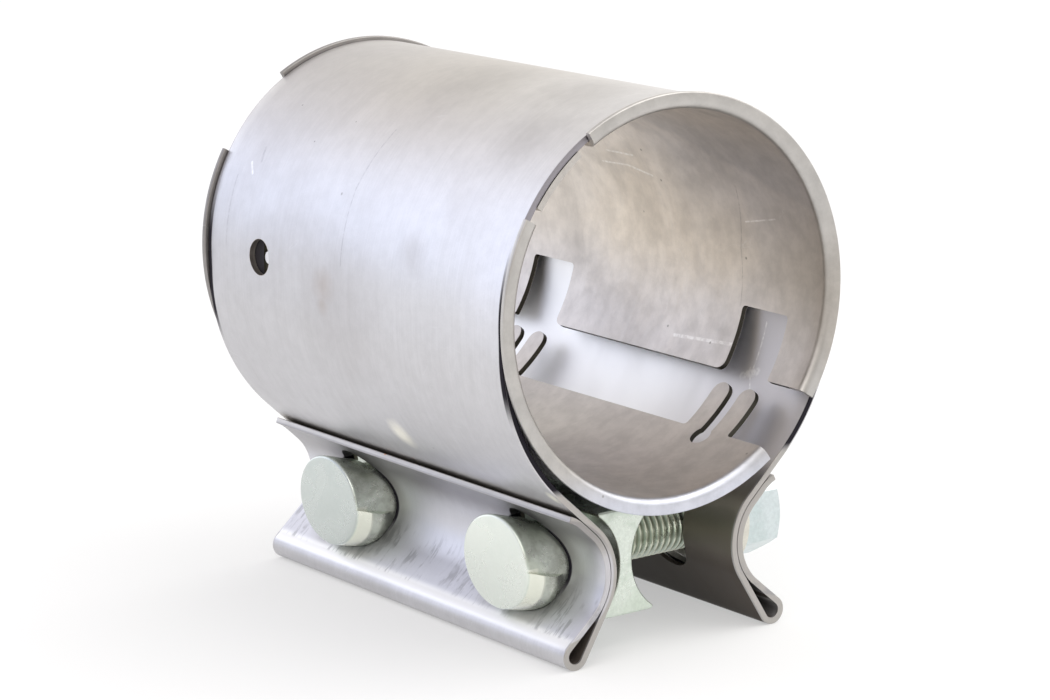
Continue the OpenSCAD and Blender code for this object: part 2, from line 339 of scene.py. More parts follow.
def side_drill(name, tab_r=0.0):
    """A round bar that points outwards at the side hole. With a tab it leaves a round-ended
    tongue on its front side and keeps to the front, so that the wall closes the hole behind
    the tab."""
    behind = 0.35
    flat = direction(np.linspace(0, 360, 96, endpoint=False)) * SIDE_HOLE_D / 2
    if tab_r:
        bite = (np.abs(flat[:, 1]) < tab_r) & (flat[:, 0] < 0)
        round_end = np.sqrt(np.maximum(tab_r ** 2 - flat[:, 1] ** 2, 0))
        tongue = TAB_REACH - SIDE_HOLE_D / 2 - tab_r + round_end
        flat[bite, 0] = tongue[bite]
        flat[:, 0] = np.minimum(flat[:, 0], behind)
        for _ in range(3):
            flat = (np.roll(flat, 1, axis=0) + 2 * flat + np.roll(flat, -1, axis=0)) / 4
    out = direction(SIDE_HOLE_DIR)
    side = direction(SIDE_HOLE_DIR + 90)
    rings = []
    for r in (32.0, 50.0):
        x = out[0] * r + side[0] * flat[:, 1]
        z = out[1] * r + side[1] * flat[:, 1]
        rings.append(np.stack([x, SIDE_HOLE_Y + flat[:, 0], z], -1))
    return loft(name, np.stack(rings))


def sleeve_ring():
    """Section of the sleeve's wall and lips as place along the bore and radius: straight inside
    wall, a quarter circle out to the lip's face, the lip's rounded rim, and back along the
    outside."""
    rim_r = 0.3
    bend_y = LENGTH / 2 - SLEEVE_T - LIP_BEND
    bend_c = np.array([bend_y, SLEEVE_RO + LIP_BEND])
    inner = bend_c + direction(np.linspace(-90, 0, 9)) * (LIP_BEND + SLEEVE_T)
    face_c = np.array([LENGTH / 2 - rim_r, LIP_R - rim_r])
    back_c = np.array([LENGTH / 2 - SLEEVE_T + rim_r, LIP_R - rim_r])
    face_rim = face_c + direction(np.linspace(0, 90, 5)) * rim_r
    back_rim = back_c + direction(np.linspace(90, 180, 5)) * rim_r
    outer = bend_c + direction(np.linspace(0, -90, 5)) * LIP_BEND
    half = np.concatenate([inner, face_rim, back_rim, outer])
    mirror = half[::-1] * [-1, 1]
    along = np.linspace(-bend_y, bend_y, 34)[1:-1]
    wall_in = np.stack([along, np.full(len(along), BORE_R)], -1)
    wall_out = np.stack([along[::-1], np.full(len(along), SLEEVE_RO)], -1)
    return np.concatenate([wall_in, half, wall_out, mirror])


def wall_cutter(name, outline, r0=34.0, r1=50.0):
    """A prism through the wall. The outline is given as arc length at the bore's radius and
    place along the bore. Each point stands on a radius, from r0 to r1."""
    out = direction(np.degrees(outline[:, 0] / BORE_R))
    rings = []
    for r in (r0, r1):
        rings.append(np.stack([out[:, 0] * r, outline[:, 1], out[:, 1] * r], -1))
    return loft(name, np.stack(rings))


def arc_mm(a):
    """Arc length at the bore's radius for an angle in degrees."""
    return math.radians(a) * BORE_R


def refine(outline, step=1.5):
    """Adds points along the sides of an outline that are longer than step."""
    out = []
    for p, q in zip(outline, np.roll(outline, -1, axis=0)):
        n = max(1, int(np.ceil(np.linalg.norm(q - p) / step)))
        out.append(p + (q - p) * np.linspace(0, 1, n, endpoint=False)[:, None])
    return np.concatenate(out)


def seam_outline():
    """Outline of the open seam on the wall, as arc length and place along the bore. It runs up
    the finger side from the front end, round both pairs of fingers and their relief holes,
    and back down the tongue side through both notches."""
    finger_round = 0.8
    notch_round = 0.9
    tongue_round = 2.0
    hi = arc_mm(SEAM_DIR) + SEAM_OPEN / 2
    lo = arc_mm(SEAM_DIR) - SEAM_OPEN / 2
    top = hi + NOTCH_DEPTH
    end = LENGTH / 2 + 2
    pair_y = TONGUE_HALF + NOTCH_W / 2
    notch_y = -pair_y - NOTCH_W / 2
    tip_r = FINGER_W / 2
    relief_r = RELIEF_D / 2
    swing = math.degrees(math.asin((FINGER_STEP - tip_r) / relief_r))
    tip = direction(np.linspace(-90, 90, 13)) * tip_r + [lo + FINGER_LEN - tip_r, 0]
    relief = direction(np.linspace(-swing, swing - 360, 21)) * relief_r + [lo - RELIEF_D / 3, 0]
    low_side = [[[lo, -end]]]
    for y in (-pair_y, pair_y):
        low_side += [
            corner([lo, y - FINGER_STEP - tip_r], [0, -1], [1, 0], finger_round),
            tip + [0, y - FINGER_STEP], relief + [0, y], tip + [0, y + FINGER_STEP],
            corner([lo, y + FINGER_STEP + tip_r], [1, 0], [0, 1], finger_round)]
    low_side.append([[lo, end]])
    front_half = np.concatenate([
        [[hi, -end]],
        corner([hi, notch_y], [0, -1], [1, 0], 0.5),
        corner([top, notch_y], [-1, 0], [0, 1], notch_round),
        corner([top, -TONGUE_HALF], [0, -1], [-1, 0], notch_round),
        corner([hi, -TONGUE_HALF], [1, 0], [0, 1], tongue_round)])
    high_side = np.concatenate([front_half, front_half[::-1] * [1, -1]])
    return refine(np.concatenate(low_side + [high_side[::-1]]))


def corner(p, before, after, r):
    """A rounded corner at p: points on a circle of radius r that touches the side that comes
    in from p + before and the side that goes out to p + after."""
    before = np.array(before, float)
    after = np.array(after, float)
    t = np.radians(np.linspace(0, 90, 6))[:, None]
    return p + before * r * (1 - np.sin(t)) + after * r * (1 - np.cos(t))


def window_outlines():
    """Outlines of the windows in both lips: a shallow one with a deeper relief at each end."""
    half_angle = 14.5
    relief_angle = 4.5
    turns = (-half_angle, relief_angle - half_angle, half_angle - relief_angle, half_angle)
    a = [arc_mm(WINDOW_DIR + turn) for turn in turns]
    outlines = []
    for side in (-1, 1):
        plain = side * (LENGTH / 2 - SLEEVE_T - 0.1)
        deep = side * (LENGTH / 2 - SLEEVE_T - 2.5)
        end = side * (LENGTH / 2 + 2)
        outlines.append(refine(np.array([
            [a[0], end], [a[0], deep], [a[1], deep], [a[1], plain],
            [a[2], plain], [a[2], deep], [a[3], deep], [a[3], end]])))
    return outlines


def make_sleeve():
    """The sleeve as a turned section, less the seam, the windows and the side hole."""
    ring = sleeve_ring()
    out = direction(np.linspace(0, 360, 240, endpoint=False))
    rings = np.stack([
        out[:, None, 0] * ring[None, :, 1],
        np.broadcast_to(ring[None, :, 0], (len(out), len(ring))),
        out[:, None, 1] * ring[None, :, 1]], -1)
    sleeve = turned("Sleeve", rings)
    cutters = [wall_cutter("seam_cutter", seam_outline())]
    cutters += [wall_cutter("window_cutter", outline) for outline in window_outlines()]
    cutters.append(side_drill("tab_cutter", TAB_HALF))
    cut(sleeve, cutters)
    return sleeve


# Reaction block

def block_outline():
    """Section of the waisted block, in X and Z about its middle, as four mirrored quarters. A
    quarter is an arc of the hollow side from the waist up, a rounded tip, and an arc of the
    slightly hollow top."""
    side_c = WAIST_HALF + HOLLOW_R
    tip_r = 0.5
    tip_c = np.array([BLOCK_HALF_W - tip_r, 0.0])
    touch_x = side_c - tip_c[0]
    tip_c[1] = math.sqrt((HOLLOW_R + tip_r) ** 2 - touch_x ** 2)
    touch_a = math.degrees(math.atan2(tip_c[1], touch_x))
    side = np.array([side_c, 0]) + direction(np.linspace(180, 180 - touch_a, 34)) * HOLLOW_R
    tip = tip_c + direction(np.linspace(-touch_a, 97, 9)) * tip_r
    top_x = np.linspace(tip[-1, 0], 0, 10)[1:]
    rise = (top_x / tip[-1, 0]) ** 2
    top = np.stack([top_x, BLOCK_HALF_H - 0.5 + (tip[-1, 1] - BLOCK_HALF_H + 0.5) * rise], -1)
    quarter = np.concatenate([side, tip, top])
    upper = np.concatenate([quarter, quarter[::-1] * [-1, 1]])
    return np.concatenate([upper, -upper])


def clean_ring(p, least=0.02):
    """Drops points of a closed outline that lie closer than least to the one before."""
    step = np.linalg.norm(p - np.roll(p, 1, axis=0), axis=1)
    return p[step > least]


def inset(p, d):
    """Moves each point of a closed outline inwards by d along its normal."""
    along = np.roll(p, -1, axis=0) - np.roll(p, 1, axis=0)
    along /= np.linalg.norm(along, axis=1)[:, None]
    return p - d * np.stack([along[:, 1], -along[:, 0]], -1)


def make_block():
    """The waisted bar, with its ends rounded off by shrinking the outline, less two bores."""
    outline = clean_ring(block_outline())
    edge_r = 0.45
    smooth_angle = 40.0
    rings = []
    for side in (-1, 1):
        stack = []
        for a in (90, 60, 30, 0):
            y = side * (BLOCK_HALF_LEN - edge_r + edge_r * math.sin(math.radians(a)))
            p = inset(outline, edge_r * (1 - math.cos(math.radians(a))))
            stack.append(np.stack([p[:, 0] + BLOCK_X, np.full(len(p), y), p[:, 1] + BOLT_Z], -1))
        rings += stack if side < 0 else stack[::-1]
    block = loft("Reaction_Block", np.stack(rings), smooth_angle)
    cutters = []
    for y in (-BOLT_Y, BOLT_Y):
        cutters.append(x_cylinder("bore_cutter", y, BOLT_Z, BOLT_R + 0.8, BLOCK_X - 9, BLOCK_X + 9))
    cut(block, cutters, smooth_angle)
    return block


# Bolts, washers and nuts

def trough_depth(z, gap):
    """How far out the surface of an ear's trough lies at height z above the bolt axis, less a
    gap: an arc of the trough's radius about the bulge, then the two straight plies that
    leave it."""
    r = TROUGH_R - gap
    z = np.asarray(z, float)
    top = math.radians(TOP_A)
    low = math.radians(OUTER_A)
    z_top = r * math.sin(top)
    z_low = r * math.sin(low)
    on_arc = np.sqrt(np.maximum(r ** 2 - np.clip(z, z_low, z_top) ** 2, 0))
    x = BULGE_C[0] - on_arc
    x = x + np.maximum(z - z_top, 0) * math.cos(top - math.pi / 2) / math.sin(top - math.pi / 2)
    x = x + np.maximum(z_low - z, 0) * -math.cos(low + math.pi / 2) / math.sin(low + math.pi / 2)
    return x


def smooth(t):
    """Eases a share from 0 to 1."""
    return t * t * (3 - 2 * t)


def head_outline(a, depth):
    """Outline of the bolt head at a depth below its face, as places along Y and Z about the
    bolt: an ellipse c + (s_y * cos a, s_z * sin a) whose centre sinks with the depth, drawn in
    at the rim. On its front lower quarter the lug shifts the outline towards the front,
    growing over the lug's slope and fading towards the trough."""
    rim = 0.6
    half_y = 10.95
    half_z = 9.6
    sunk = np.clip(depth / 7.5, 0, 1)
    sunk = 0.5 * sunk + 0.5 * smooth(sunk)
    u = np.clip(1 - depth / rim, 0, 1)
    drawn_in = rim * (1 - np.sqrt(1 - u ** 2))
    shift = LUG_OUT * np.clip(depth / LUG_SLOPE, 0, 1) * (1 - smooth(np.clip((depth - 4) / 5, 0, 1)))
    turn = np.degrees(a)
    in_quarter = (turn >= 180) & (turn <= 270)
    share = np.where(in_quarter, np.sqrt(np.clip((270 - turn) / 60, 0, 1)), 0)
    drawn_in = drawn_in * (1 - 0.6 * (share > 0))
    y = 0.5 - 0.5 * sunk + (half_y - drawn_in) * np.cos(a) - shift * share
    z = -0.63 - 1.5 * sunk + (half_z - 0.3 * sunk - drawn_in) * np.sin(a)
    return y, z


def head_rings(a):
    """Rings of the bolt head from its face down its side to the trough, then inwards along the
    trough to the shank. Where the side meets the trough depends on the outline there, so the
    depth is found in steps."""
    fixed = np.array([
        0, 0.03, 0.09, 0.18, 0.3, 0.45, 0.65, 1.0, 1.5, 1.95, 2.25, 2.4, 2.55, 2.8, 3.3, 4.0])
    end = np.full(len(a), 8.0)
    for _ in range(12):
        end = HEAD_FACE - trough_depth(head_outline(a, end)[1], SEAT_GAP)
    squeeze = np.minimum(1, end / 4.6)
    depths = [d * squeeze for d in fixed]
    depths += [fixed[-1] * squeeze * (1 - t) + end * t for t in np.linspace(0, 1, 10)[1:]]
    rings = []
    for depth in depths:
        y, z = head_outline(a, depth)
        rings.append(np.stack([depth - HEAD_FACE, y, z], -1))
    neck = about_x(0, BOLT_R + 0.6, a)
    for t in (0.04, 0.3, 0.7, 1.0):
        under_y = y * (1 - t) + neck[:, 1] * t
        under_z = z * (1 - t) + neck[:, 2] * t
        rings.append(np.stack([-trough_depth(under_z, SEAT_GAP), under_y, under_z], -1))
    return rings


def thread_rings(a):
    """Rings of the rolled thread: the radius falls by a depth times a trapezoid wave of
    x / pitch - turn, which starts over two pitches and ends in a chamfer."""
    x = np.arange(THREAD_START, BOLT_END + 1e-6, PITCH / 10)
    x, turn = np.meshgrid(x, a / (2 * math.pi), indexing="ij")
    phase = (x / PITCH - turn) % 1.0
    wave = np.clip((np.abs(phase - 0.5) * 2 - 0.18) / 0.58, 0, 1)
    wave = smooth(wave) * 0.35 + wave * 0.65
    run_out = np.clip((x - THREAD_START) / (2 * PITCH), 0, 1)
    r = BOLT_R - 0.04 - 0.86 * wave * run_out
    chamfer = BOLT_R - 1.1 + np.clip(BOLT_END - x, 0, 2)
    return about_x(x, np.minimum(r, chamfer), a)


def make_bolt(name, y):
    """Head, plain shank and rolled thread in one stack of rings."""
    quarter = np.linspace(0, 90, 38, endpoint=False)
    lug_edge = [179.7]
    a = np.concatenate([quarter, quarter + 90, lug_edge, quarter + 180, quarter + 270])
    a = np.radians(a)
    shank_start = about_x(0.6 - trough_depth(BOLT_R * np.sin(a), SEAT_GAP), BOLT_R, a)
    shank_end = about_x(THREAD_START - 1.2, BOLT_R, a)
    rings = np.stack(head_rings(a) + [shank_start, shank_end])
    rings = np.concatenate([rings, thread_rings(a)])
    return loft(name, rings + [0, y, BOLT_Z], 38.0)


def make_nut(name, y):
    """Hex nut: its side is (flats / 2) / cos of the angle from the nearest flat, and each face
    ends in a shallow cone that leaves a round chamfer on the corners."""
    a = np.radians(np.linspace(0, 360, 144, endpoint=False))
    from_flat = (np.degrees(a) + 30) % 60 - 30
    side = NUT_AF / 2 / np.cos(np.radians(from_flat))
    flat_r = NUT_AF / 2 - 0.2
    slope = 0.55
    drop = (side - flat_r) * slope
    hole = BOLT_R - 0.75
    rows = [
        (hole, 1.0), (BOLT_R + 0.25, 0.0), (flat_r, 0.0),
        ((flat_r + side) / 2, drop / 2), (side - 0.12, drop - 0.05), (side, drop + 0.12)]
    far = [(r, NUT_H - d) for r, d in rows[::-1]]
    rings = np.stack([about_x(NUT_X + d, r, a) for r, d in rows + far])
    return turned(name, rings + [0, y, BOLT_Z], 28.0)


def make_washer(name, y):
    """Saddle washer: a round disc whose inner face follows the ear's trough."""
    a = np.radians(np.linspace(0, 360, 120, endpoint=False))
    hole = BOLT_R + 0.6
    edge = 0.45
    outer_face = [
        (hole + 0.3, 0), (9.5, 0), (WASHER_R - edge, 0),
        (WASHER_R - 0.5 * edge, 0.06), (WASHER_R - 0.15 * edge, 0.2), (WASHER_R, edge)]
    saddle = [(WASHER_R, 0.25), (WASHER_R - 0.3, 0), (10.0, 0), (8.4, 0), (hole, 0)]
    rings = [about_x(WASHER_X - drop, r, a) for r, drop in outer_face]
    rings += [about_x(trough_depth(r * np.sin(a), 0.3) + lift, r, a) for r, lift in saddle]
    rings.append(about_x(WASHER_X - 0.3, hole, a))
    return turned(name, np.stack(rings) + [0, y, BOLT_Z], 34.0)


band = make_band()
sleeve = make_sleeve()
block = make_block()
front_bolt = make_bolt("Front_Bolt", -BOLT_Y)
back_bolt = make_bolt("Back_Bolt", BOLT_Y)
front_washer = make_washer("Front_Saddle_Washer", -BOLT_Y)
back_washer = make_washer("Back_Saddle_Washer", BOLT_Y)
front_nut = make_nut("Front_Nut", -BOLT_Y)
back_nut = make_nut("Back_Nut", BOLT_Y)


# Finishes: shared effects as node groups

class Graph:
    """A thin wrapper that adds nodes and links by name."""

    def __init__(self, tree):
        self.tree = tree

    def add(self, kind, settings=None, **inputs):
        node = self.tree.nodes.new(kind)
        for key, value in (settings or {}).items():
            setattr(node, key, value)
        for key, value in inputs.items():
            self.feed(node, key, value)
        return node

    def feed(self, node, key, value):
        """Links or sets one input, given by its name or by i and its number."""
        numbered = key[0] == "i" and key[1:].isdigit()
        slot = node.inputs[int(key[1:]) if numbered else key.replace("_", " ")]
        if isinstance(value, bpy.types.NodeSocket):
            self.link(value, slot)
        else:
            slot.default_value = value

    def link(self, value, slot):
        self.tree.links.new(value, slot)

    def math(self, operation, a, b=0.0, clamp=False):
        settings = {"operation": operation, "use_clamp": clamp}
        return self.add("ShaderNodeMath", settings, i0=a, i1=b).outputs[0]

    def vector(self, operation, a, b, output="Vector"):
        return self.add("ShaderNodeVectorMath", {"operation": operation}, i0=a, i1=b).outputs[output]

    def scale(self, vector, factor):
        return self.add("ShaderNodeVectorMath", {"operation": "SCALE"}, i0=vector, Scale=factor).outputs[0]

    def times(self, *values):
        """The product of two or more values."""
        out = values[0]
        for value in values[1:]:
            out = self.math("MULTIPLY", out, value)
        return out

    def most(self, masks):
        """The strongest of several masks."""
        out = masks[0]
        for mask in masks[1:]:
            out = self.math("MAXIMUM", out, mask)
        return out

    def length(self, a, b):
        """The length of a flat vector."""
        return self.math("SQRT", self.math("ADD", self.times(a, a), self.times(b, b)))

    def millimetres(self, place):
        """The three coordinates of a place, in millimetres."""
        return self.add("ShaderNodeSeparateXYZ", {}, i0=self.scale(place, 1 / MM)).outputs

    def span(self, value, a, b, lo=0.0, hi=1.0):
        """Runs smoothly from lo to hi as a value goes from a to b, and stays there beyond."""
        node = self.add("ShaderNodeMapRange", {"interpolation_type": "SMOOTHSTEP"},
                        Value=value, From_Min=a, From_Max=b, To_Min=lo, To_Max=hi)
        return node.outputs[0]

    def noise(self, vector, scale, detail=3.0, rough=0.55, warp=0.0):
        node = self.add("ShaderNodeTexNoise", {}, Vector=vector, Scale=scale, Detail=detail,
                        Roughness=rough, Distortion=warp)
        return node.outputs[0]

    def stretch(self, vector, scale):
        return self.add("ShaderNodeMapping", {}, Vector=vector, Scale=scale).outputs[0]

    def mix(self, factor, a, b, kind="MIX"):
        settings = {"data_type": "RGBA", "blend_type": kind}
        return self.add("ShaderNodeMix", settings, i0=factor, i6=a, i7=b).outputs[2]


VEC = "NodeSocketVector"
NUM = "NodeSocketFloat"


def new_group(name, inputs, output):
    """A node group with a place, more named inputs and one value or vector as its output. Gives
    its graph, its inputs by name and the socket of its output."""
    tree = bpy.data.node_groups.new(name, "ShaderNodeTree")
    tree.interface.new_socket(name="Place", in_out="INPUT", socket_type=VEC)
    for label, kind, value in inputs:
        socket = tree.interface.new_socket(name=label, in_out="INPUT", socket_type=kind)
        if value is not None:
            socket.default_value = value
    label, kind = output
    tree.interface.new_socket(name=label, in_out="OUTPUT", socket_type=kind)
    start = tree.nodes.new("NodeGroupInput")
    end = tree.nodes.new("NodeGroupOutput")
    return Graph(tree), start.outputs, end.inputs[label]


def rolled_grain():
    """Fine lines that run round the bore, as rolling leaves them: noise squeezed along Y and
    drawn out across it."""
    g, i, out = new_group("Rolled grain", [], ("Lines", NUM))
    fine = g.noise(g.stretch(i["Place"], (50, 4200, 50)), 1.0, 2.0)
    broad = g.noise(g.stretch(i["Place"], (20, 700, 20)), 1.0, 3.0)
    grit = g.noise(i["Place"], 2600.0, 2.0)
    lines = g.math("ADD", g.times(fine, 0.45), g.times(broad, 0.3))
    g.link(g.math("ADD", lines, g.times(grit, 0.25)), out)
    return g.tree


def cloudy_stain():
    """Soft blotches from handling and heat, as warped noise."""
    g, i, out = new_group("Cloudy stain", [("Size", NUM, 40.0)], ("Stain", NUM))
    large = g.noise(i["Place"], i["Size"], 4.0, 0.6, 0.6)
    g.link(g.span(large, 0.38, 0.68), out)
    return g.tree


def soft_patch():
    """One soft patch about a centre: 1 inside, falling to 0 over its softness, with its edge
    broken up by noise."""
    g, i, out = new_group("Soft patch", [
        ("Centre", VEC, None), ("Radius", NUM, 0.01), ("Softness", NUM, 0.01)],
        ("Patch", NUM))
    apart = g.vector("DISTANCE", i["Place"], i["Centre"], "Value")
    rough = g.math("SUBTRACT", g.noise(i["Place"], 160.0, 3.0), 0.5)
    far = g.math("ADD", apart, g.times(rough, i["Softness"]))
    limit = g.math("ADD", i["Radius"], i["Softness"])
    share = g.math("DIVIDE", g.math("SUBTRACT", limit, far), i["Softness"], clamp=True)
    g.link(share, out)
    return g.tree


def unrolled_sheet():
    """The wall laid flat: the arc from the top of the clamp, growing to the left, and the place
    along the bore."""
    g, i, out = new_group("Unrolled sheet", [("Radius", NUM, 0.04)], ("Flat", VEC))
    x, y, z = g.add("ShaderNodeSeparateXYZ", {}, i0=i["Place"]).outputs
    turn = g.math("ARCTAN2", g.times(x, -1.0), z)
    arc = g.times(turn, i["Radius"])
    g.link(g.add("ShaderNodeCombineXYZ", {}, i0=arc, i1=y).outputs[0], out)
    return g.tree


def line_mark():
    """One thin scratch between two points: the distance to the segment, worn thin by noise."""
    g, i, out = new_group("Line mark", [
        ("Start", VEC, None), ("End", VEC, None), ("Width", NUM, 0.0002)],
        ("Mark", NUM))
    whole = g.vector("SUBTRACT", i["End"], i["Start"])
    away = g.vector("SUBTRACT", i["Place"], i["Start"])
    along = g.vector("DOT_PRODUCT", away, whole, "Value")
    share = g.math("DIVIDE", along, g.vector("DOT_PRODUCT", whole, whole, "Value"), clamp=True)
    apart = g.vector("DISTANCE", away, g.scale(whole, share), "Value")
    mark = g.span(g.math("DIVIDE", apart, i["Width"]), 0.4, 1.0, 1.0, 0.0)
    wear = g.span(g.noise(i["Place"], 900.0, 2.0), 0.35, 0.6, 0.25, 1.0)
    g.link(g.times(mark, wear), out)
    return g.tree


def hair_scratches():
    """Sparse hairlines: thin bands of a stretched noise, kept only where a second noise is high."""
    g, i, out = new_group("Hair scratches", [("Amount", NUM, 1.0)], ("Scratch", NUM))
    line = g.noise(g.stretch(i["Place"], (260, 60, 90)), 1.0, 2.0, 0.5, 0.8)
    thin = g.span(g.math("ABSOLUTE", g.math("SUBTRACT", line, 0.5)), 0.0, 0.006, 1.0, 0.0)
    keep = g.span(g.noise(i["Place"], 70.0, 2.0), 0.58, 0.68)
    g.link(g.times(thin, keep, i["Amount"]), out)
    return g.tree


def fine_specks():
    """Small dark specks: the middles of a few cells."""
    g, i, out = new_group("Fine specks", [
        ("Count", NUM, 260.0), ("Share", NUM, 0.1)], ("Speck", NUM))
    cell = g.add("ShaderNodeTexVoronoi", {}, Vector=i["Place"], Scale=i["Count"]).outputs
    pick = g.add("ShaderNodeSeparateColor", {}, i0=cell["Color"]).outputs[0]
    dot = g.span(cell["Distance"], 0.03, 0.08, 1.0, 0.0)
    g.link(g.times(dot, g.math("LESS_THAN", pick, i["Share"])), out)
    return g.tree


def forming_streaks():
    """Short rubbed strokes across the bend where the ear was pressed: noise that is fine along
    Y and long in height, kept in blotches."""
    g, i, out = new_group("Forming streaks", [], ("Streak", NUM))
    line = g.span(g.noise(g.stretch(i["Place"], (120, 720, 170)), 1.0, 4.0, 0.65), 0.48, 0.60)
    keep = g.span(g.noise(i["Place"], 150.0, 3.0), 0.38, 0.56)
    g.link(g.times(line, keep), out)
    return g.tree


GRAIN = rolled_grain()
STAIN = cloudy_stain()
PATCH = soft_patch()
UNROLLED = unrolled_sheet()
LINE = line_mark()
SCRATCH = hair_scratches()
SPECK = fine_specks()
STREAK = forming_streaks()


class Finish(Graph):
    """A metal finish under construction: its material and shader, the place on the object, the
    same place on the flat sheet where it has one, and the colour as painted so far."""

    def __init__(self, name, radius=None):
        self.material = bpy.data.materials.new(name)
        self.material.use_nodes = True
        super().__init__(self.material.node_tree)
        self.shader = self.tree.nodes["Principled BSDF"]
        self.place = self.add("ShaderNodeTexCoord").outputs["Object"]
        if radius:
            self.flat = self.use(UNROLLED, Radius=radius * MM)

    def use(self, group, **inputs):
        """The output of a shared effect, at the place on the object if no other is given."""
        inputs = {"Place": self.place, **inputs}
        return self.add("ShaderNodeGroup", {"node_tree": group}, **inputs).outputs[0]

    def patch(self, place, centre_mm, radius_mm, soft_mm):
        centre = tuple(v * MM for v in centre_mm)
        return self.use(PATCH, Place=place, Centre=centre, Radius=radius_mm * MM, Softness=soft_mm * MM)

    def patches(self, rows):
        """Soft patches on the flat sheet. A row gives a patch's place, radius and softness."""
        return self.most([self.patch(self.flat, (u, v, 0), radius, soft) for u, v, radius, soft in rows])

    def scratches(self, rows):
        """Thin scratches on the flat sheet. A row gives a scratch's start, end and width."""
        marks = []
        for u0, v0, u1, v1, width in rows:
            ends = {"Start": (u0 * MM, v0 * MM, 0), "End": (u1 * MM, v1 * MM, 0)}
            marks.append(self.use(LINE, Place=self.flat, Width=width * MM, **ends))
        return self.most(marks)

    def tint(self, mask, share, shade):
        """Lays a shade over the colour by a mask times a share."""
        self.color = self.mix(self.times(mask, share), self.color, (*shade, 1))

    def grain(self, noise, low, high):
        """Darkens and lightens the colour by a noise, from low to high."""
        spread = self.span(noise, 0.3, 0.7, low, high)
        gray = self.add("ShaderNodeCombineColor", {}, i0=spread, i1=spread, i2=spread).outputs[0]
        self.color = self.mix(1.0, self.color, gray, "MULTIPLY")

    def dull(self, mask):
        """Takes the metal's reflection away by a mask."""
        self.link(self.math("SUBTRACT", 1.0, mask), self.shader.inputs["Metallic"])
        less = self.math("SUBTRACT", 0.5, self.times(mask, 0.45))
        self.link(less, self.shader.inputs["Specular IOR Level"])

    def finish(self, rough, bump, strength):
        """Links the colour, the roughness and a bump one tenth of a millimetre deep."""
        self.link(self.color, self.shader.inputs["Base Color"])
        self.link(rough, self.shader.inputs["Roughness"])
        node = self.add("ShaderNodeBump", {}, Height=bump, Strength=strength, Distance=0.1 * MM)
        self.link(node.outputs[0], self.shader.inputs["Normal"])


# Band's finish

def band_places(g):
    """Places on the band in millimetres. x and y are distances from the middle planes, depth is
    the distance from the bore's axis or from the sagging centre below it, and bulge is the
    distance from the axis of the ear's bulge."""
    right, back, z = g.millimetres(g.place)
    x = g.math("ABSOLUTE", right)
    sag = g.math("MINIMUM", g.math("SUBTRACT", z, SAG_C[1]), 0.0)
    return SimpleNamespace(
        x=x, y=g.math("ABSOLUTE", back), z=z, back=back,
        left=g.math("LESS_THAN", right, 0.0),
        depth=g.length(x, g.math("ADD", g.math("MAXIMUM", z, 0.0), sag)),
        bulge=g.length(g.math("SUBTRACT", x, BULGE_C[0]), g.math("SUBTRACT", z, BULGE_C[1])))


def band_color(g, at, stain):
    """Satin grey with a stain, warmer at the top as a painted warm reflection, lighter at the front
    end as painted light, and darker at the back end and below the middle as painted shade."""
    # Painted warm reflection: the top is mixed towards a warmer grey
    g.color = g.mix(g.span(at.z, 14, 38), (0.655, 0.660, 0.700, 1), (0.615, 0.585, 0.560, 1))
    g.tint(stain, 0.20, (0.50, 0.48, 0.47))
    # Painted light towards the front end; painted shade towards the back end and below the middle
    g.tint(g.span(at.back, 10, -50), 0.45, (0.80, 0.80, 0.83))
    g.tint(g.span(at.back, 0, 50), 0.30, (0.52, 0.52, 0.56))
    g.tint(g.span(at.z, 12, -12), 0.60, (0.56, 0.55, 0.555))


def band_marks_and_painted_light(g):
    """Painted light, painted shade and marks on the outside: a painted lighter area at the front,
    two painted highlights low on the side, smudges, a painted darker area on the side, a brown
    spot, scratches and pits."""
    # Painted light: a lighter area at the front end
    painted_light_area = g.patches([(58.5, -50, 3, 10)])
    g.tint(painted_light_area, 0.35, (0.86, 0.87, 0.95))
    # Painted highlights: two bright warm spots low on the side
    painted_glints = g.patches([(95.2, -5.6, 1.3, 3), (100.8, -51.6, 0.4, 1.6)])
    g.tint(painted_glints, 0.95, (1.0, 0.97, 0.88))
    smudges = g.patches([(8, -4, 4, 12), (6, -34, 3, 10), (24, -38, 2, 9), (54, -22, 1.5, 4)])
    g.tint(smudges, 0.30, (0.40, 0.38, 0.37))
    # Painted shade: a darker area on the side
    painted_dark_area = g.patches([(69, 2, 5, 14)])
    g.tint(painted_dark_area, 0.22, (0.40, 0.38, 0.38))
    brown = g.patches([(65, 9, 1.2, 3.5), (69, 9.5, 0.6, 2)])
    g.tint(brown, 0.35, (0.40, 0.33, 0.29))
    dark_lines = g.scratches([
        (29.7, 1.6, 44, 3.2, 0.28), (44, 3.2, 60, 2.6, 0.22),
        (47, 46.5, 62, 46.3, 0.25), (40, 40.5, 43, 39.8, 0.5)])
    g.tint(dark_lines, 0.35, (0.30, 0.29, 0.32))
    light_line = g.scratches([(43.7, 43.1, 46, 41.3, 0.4)])
    g.tint(light_line, 0.6, (0.92, 0.92, 0.95))
    pits = g.patches([(u, v, 0.12, 0.12) for u, v in ((28.5, 37.9), (29.8, 16.1), (36.3, 25))])
    g.tint(pits, 0.6, (0.10, 0.09, 0.09))


